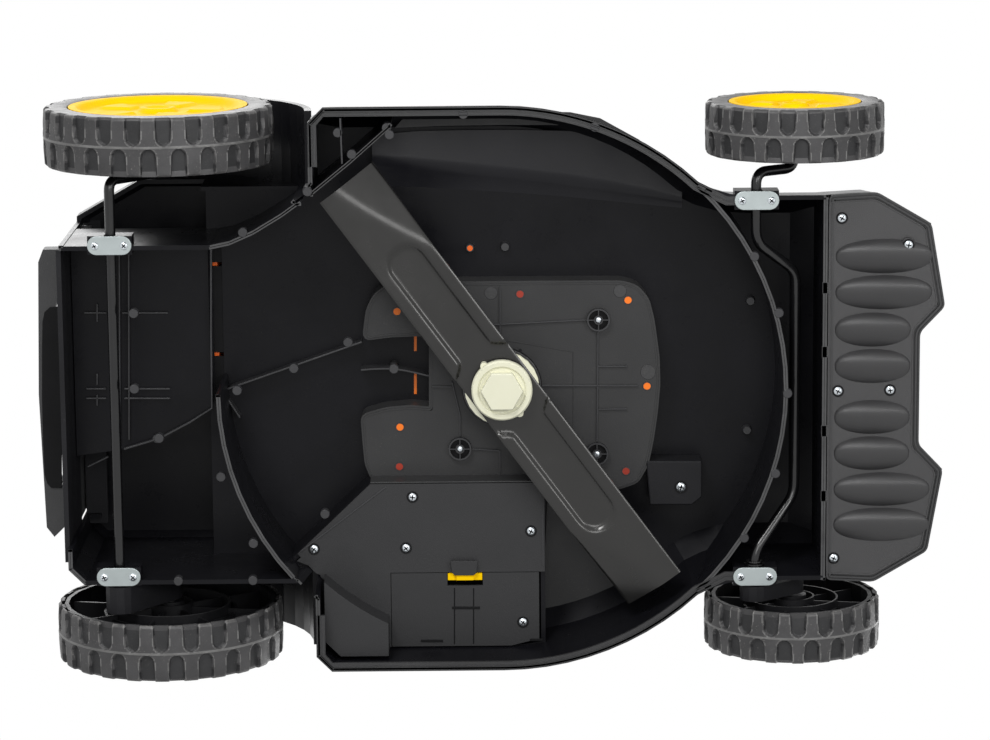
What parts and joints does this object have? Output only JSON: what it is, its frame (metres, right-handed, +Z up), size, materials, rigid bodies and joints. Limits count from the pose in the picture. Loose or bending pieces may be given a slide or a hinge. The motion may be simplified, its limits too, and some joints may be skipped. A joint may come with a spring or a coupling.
{
  "type": "electric lawn mower",
  "caption": "Mains electric rotary lawn mower with plastic deck, bar blade, crank-axle height adjustment, rear discharge flap and push handle folded over the deck.",
  "frame": {"origin": "middle of the mower's box, on the ground under the wheels, with the handle folded", "axes": "+X forward, towards the ridged nose; +Y to the mower's left; +Z up; the blade turns about Z at x = 0.01475"},
  "size_m": [0.7106, 0.443, 0.2606],
  "materials": {
    "deck_plastic": "moulded bluish black, slightly glossy",
    "plate_plastic": "moulded charcoal, matte",
    "cover_plastic": "moulded orange, glossy",
    "yellow_plastic": "moulded yellow, glossy",
    "ivory_plastic": "moulded ivory, satin",
    "tyre_plastic": "dusty dark grey tread",
    "black_steel": "black powder coat",
    "blade_steel": "satin dark grey coat",
    "core_steel": "stacked sheet steel",
    "zinc_steel": "zinc plated",
    "bare_steel": "ground steel",
    "foam": "closed foam sleeve",
    "board_green": "circuit board"
  },
  "bodies": {
    "deck": {"deck_shell": "deck_plastic", "motor_plate": "plate_plastic", "bay_cover": "plate_plastic", "front_plate": "plate_plastic", "rear_right_clamp": "zinc_steel", "rear_left_clamp": "zinc_steel", "front_right_clamp": "zinc_steel", "front_left_clamp": "zinc_steel", "top_cover": "cover_plastic", "vent_cap": "plate_plastic", "motor_can": "zinc_steel", "motor_stator": "core_steel", "lower_bearing": "bare_steel", "upper_bearing": "bare_steel", "control_board": "board_green", "flap_pin": "bare_steel", "right_handle_bracket": "black_steel", "left_handle_bracket": "black_steel"},
    "spindle": {"motor_shaft": "bare_steel", "rotor_core": "core_steel", "cooling_fan": "plate_plastic", "blade_adapter": "ivory_plastic", "blade_nut": "ivory_plastic", "blade": "blade_steel"},
    "rear_cranks": {"rear_axle": "black_steel", "rear_crank_arm": "plate_plastic", "rear_stub_axle": "bare_steel"},
    "front_cranks": {"front_axle": "black_steel", "front_crank_arm": "plate_plastic", "front_stub_axle": "bare_steel"},
    "rear_right_roller": {"rear_right_tyre": "tyre_plastic", "rear_right_wheel": "deck_plastic", "rear_right_hub_cap": "yellow_plastic"},
    "rear_left_roller": {"rear_left_tyre": "tyre_plastic", "rear_left_wheel": "deck_plastic", "rear_left_hub_cap": "yellow_plastic"},
    "front_right_roller": {"front_right_tyre": "tyre_plastic", "front_right_wheel": "deck_plastic", "front_right_hub_cap": "yellow_plastic"},
    "front_left_roller": {"front_left_tyre": "tyre_plastic", "front_left_wheel": "deck_plastic", "front_left_hub_cap": "yellow_plastic"},
    "flap": {"rear_flap": "plate_plastic"},
    "hatch": {"hatch_panel": "plate_plastic"},
    "latch": {"hatch_latch": "yellow_plastic"},
    "lower_frame": {"right_lower_leg": "black_steel", "left_lower_leg": "black_steel", "right_elbow_knob": "plate_plastic", "left_elbow_knob": "plate_plastic"},
    "upper_frame": {"upper_handle": "black_steel", "right_grip": "foam", "left_grip": "foam", "switch_box": "plate_plastic"},
    "button": {"lock_button": "yellow_plastic"},
    "bail": {"bail_lever": "yellow_plastic"}
  },
  "joints": [
    {"name": "blade_spin", "type": "hinge", "parent": "deck", "child": "spindle", "pos_m": [0.01475, 0, 0.05], "axis": [0, 0, 1], "continuous": true},
    {"name": "rear_height", "type": "hinge", "parent": "deck", "child": "rear_cranks", "pos_m": [-0.28425, 0, 0.046], "axis": [0, 1, 0], "range_deg": [0, 50]},
    {"name": "front_height", "type": "hinge", "parent": "deck", "child": "front_cranks", "pos_m": [0.21025, 0, 0.046], "axis": [0, 1, 0], "range_deg": [0, 66]},
    {"name": "rear_right_roll", "type": "hinge", "parent": "rear_cranks", "child": "rear_right_roller", "pos_m": [-0.24925, -0.196, 0.089], "axis": [0, 1, 0], "continuous": true},
    {"name": "rear_left_roll", "type": "hinge", "parent": "rear_cranks", "child": "rear_left_roller", "pos_m": [-0.24925, 0.196, 0.089], "axis": [0, 1, 0], "continuous": true},
    {"name": "front_right_roll", "type": "hinge", "parent": "front_cranks", "child": "front_right_roller", "pos_m": [0.24125, -0.2, 0.069], "axis": [0, 1, 0], "continuous": true},
    {"name": "front_left_roll", "type": "hinge", "parent": "front_cranks", "child": "front_left_roller", "pos_m": [0.24125, 0.1885, 0.069], "axis": [0, 1, 0], "continuous": true},
    {"name": "flap_hinge", "type": "hinge", "parent": "deck", "child": "flap", "pos_m": [-0.31875, 0, 0.178], "axis": [0, 1, 0], "range_deg": [0, 70]},
    {"name": "hatch_hinge", "type": "hinge", "parent": "deck", "child": "hatch", "pos_m": [-0.0155, 0.2105, 0.0785], "axis": [1, 0, 0], "range_deg": [0, 80]},
    {"name": "latch_slide", "type": "slide", "parent": "hatch", "child": "latch", "axis": [0, 1, 0], "range_m": [0, 0.004], "stiffness_N_per_m": 150, "springref_m": -0.002},
    {"name": "handle_fold", "type": "hinge", "parent": "deck", "child": "lower_frame", "pos_m": [-0.24725, 0, 0.218], "axis": [0, -1, 0], "range_deg": [0, 133]},
    {"name": "elbow_fold", "type": "hinge", "parent": "lower_frame", "child": "upper_frame", "pos_m": [0.30275, 0, 0.218], "axis": [0, 1, 0], "range_deg": [0, 180]},
    {"name": "button_press", "type": "slide", "parent": "upper_frame", "child": "button", "axis": [0, 0, -1], "range_m": [0, 0.004], "stiffness_N_per_m": 200, "springref_m": -0.002},
    {"name": "bail_pull", "type": "hinge", "parent": "upper_frame", "child": "bail", "pos_m": [-0.17825, 0, 0.224], "axis": [0, -1, 0], "range_deg": [0, 56], "stiffness_Nm_per_rad": 0.1, "springref_deg": -28.65}
  ]
}
